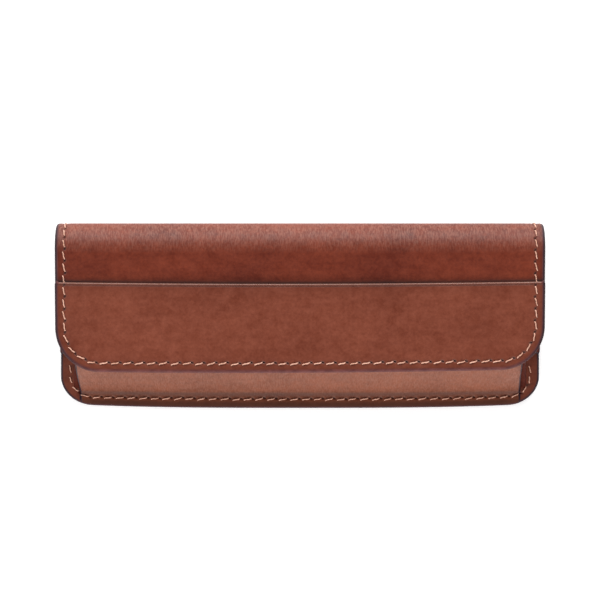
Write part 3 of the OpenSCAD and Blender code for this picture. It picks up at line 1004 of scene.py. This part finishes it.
def build_linings():
    """Suede on the inside of the leather, in two pieces that meet half-way up the spine."""
    def flap_lining_span(s):
        half = flap_half(np.minimum(s, FLAP_END - 1.2 * MM), LINING_INSET)
        return -half, half

    def back_lining_span(s):
        """As wide as the room inside the box, and past its mouth nearly as wide as the back."""
        past_mouth = np.clip((s - (GUSSET_HI.y - LOW_Y) - 0.3 * MM) / (0.8 * MM), 0, 1)
        half = (FRONT_HI.x - 0.3 * MM) * (1 - past_mouth) + (BACK_HALF - LINING_INSET) * past_mouth
        return -half, half

    flap_rows = rows_to_tip(MID_SPINE, LINING_STEP, LINING_INSET)
    back_rows = spread(LINING_BOTTOM, MID_SPINE, LINING_STEP)
    for name, rows, span, butt, bodies, node_name in (
            ("flap_suede", flap_rows, flap_lining_span, 0, ("spine", "flap"), "flap_lining"),
            ("back_suede", back_rows, back_lining_span, -1, ("case", "spine"), "back_lining")):
        piece = sheet(name, lining_side, rows, span, LEATHER + LINING, LEATHER + CLEAR, [SUEDE, SUEDE],
                      edge=0.2 * MM, butt=butt, step=LINING_STEP)
        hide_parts(node_name, "spine_lining")
        bend_between(piece, *bodies)


def bend_between(piece, first, second):
    """Works out where the roll that joins the two bodies starts and ends, without using that, and bakes the
    piece's placement into its mesh.
    """
    lower_roll = (FLAT_BACK, SPINE_START)
    upper_roll = (FLAP_START - UPPER_BEND * QUARTER, FLAP_START)
    start, end = [outside(0.0, np.float64(s), 0.0) for s in (lower_roll if first == "case" else upper_roll)]
    tuple(start)
    tuple(end)
    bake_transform(piece)


# ---------------------------------------------------------------- scene
CAMERA_OFF, CAMERA_Y = 0.8, 5.5 * MM
LENS_MM = 138.7


def finish_cad_nodes():
    """The hidden pieces that keep their CAD shape get their own finish."""
    for name, material in (("front_lining", SUEDE), ("body_magnets", NICKEL), ("flap_magnets", NICKEL)):
        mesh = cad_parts[name].data
        mesh.materials.clear()
        mesh.materials.append(material)


def light(name, place, target, size, power):
    """A softbox that faces its target."""
    data = bpy.data.lights.new(name, "AREA")
    data.shape, data.size, data.size_y, data.energy = "RECTANGLE", *size, power
    lamp = bpy.data.objects.new(name, data)
    bpy.context.scene.collection.objects.link(lamp)
    lamp.location = place
    way = np.array(target) - np.array(place)
    lamp.rotation_mode = "QUATERNION"
    lamp.rotation_quaternion = mathutils.Vector(way).to_track_quat("-Z", "Y")


def build_stage():
    """A white floor just under the case, two long softboxes along its sides, and weak fills at its ends."""
    mesh = bpy.data.meshes.new("floor")
    reach = 3.0
    corners = [(-reach, -reach, 0), (reach, -reach, 0), (reach, reach, 0), (-reach, reach, 0)]
    mesh.from_pydata(corners, [], [(0, 1, 2, 3)])
    material, tree, shader = new_material("floor_white")
    fill(tree, shader, {"Base Color": (0.93, 0.93, 0.93, 1), "Roughness": 0.9,
                        "Emission Color": (1, 1, 1, 1), "Emission Strength": 0.35})
    mesh.materials.append(material)
    floor = bpy.data.objects.new("floor", mesh)
    floor.location.z = -0.05 * MM
    bpy.context.scene.collection.objects.link(floor)
    world = bpy.data.worlds.new("studio")
    world.use_nodes = True
    fill(world.node_tree, world.node_tree.nodes["Background"], {"Color": (1, 1, 1, 1), "Strength": 0.15})
    bpy.context.scene.world = world
    centre = (0, 0, FLAP_TOP)
    light("softbox_top", (0, 0.85, 0.40), centre, (1.6, 0.42), 15)
    light("softbox_bottom", (0, -0.85, 0.42), centre, (1.6, 0.42), 11)
    light("fill_left", (-0.85, 0, 0.60), centre, (0.4, 0.7), 2.2)
    light("fill_right", (0.85, 0, 0.60), centre, (0.4, 0.7), 1.2)
    bpy.context.scene.view_settings.view_transform = "Standard"


def build_camera():
    """Straight above a place a little up the case, as far away as the photograph's perspective says."""
    data = bpy.data.cameras.new("camera")
    data.lens, data.sensor_width = LENS_MM, 36
    data.clip_start, data.clip_end = 0.05, 10
    camera = bpy.data.objects.new("camera", data)
    camera.location = (0, CAMERA_Y, FLAP_TOP + CAMERA_OFF)
    bpy.context.scene.collection.objects.link(camera)
    bpy.context.scene.camera = camera


build_camera()
build_stage()
for piece in (build_flap(), build_pocket(), build_flap_thread()):
    bend_between(piece, "spine", "flap")
for piece in (build_back(), build_back_thread()):
    bend_between(piece, "case", "spine")
build_front()
build_gusset(1, "right_gusset_leather", "right_gusset", "right_side_thread", "right_side_stitching")
build_gusset(-1, "left_gusset_leather", "left_gusset", "left_side_thread", "left_side_stitching")
build_band()
build_linings()
finish_cad_nodes()
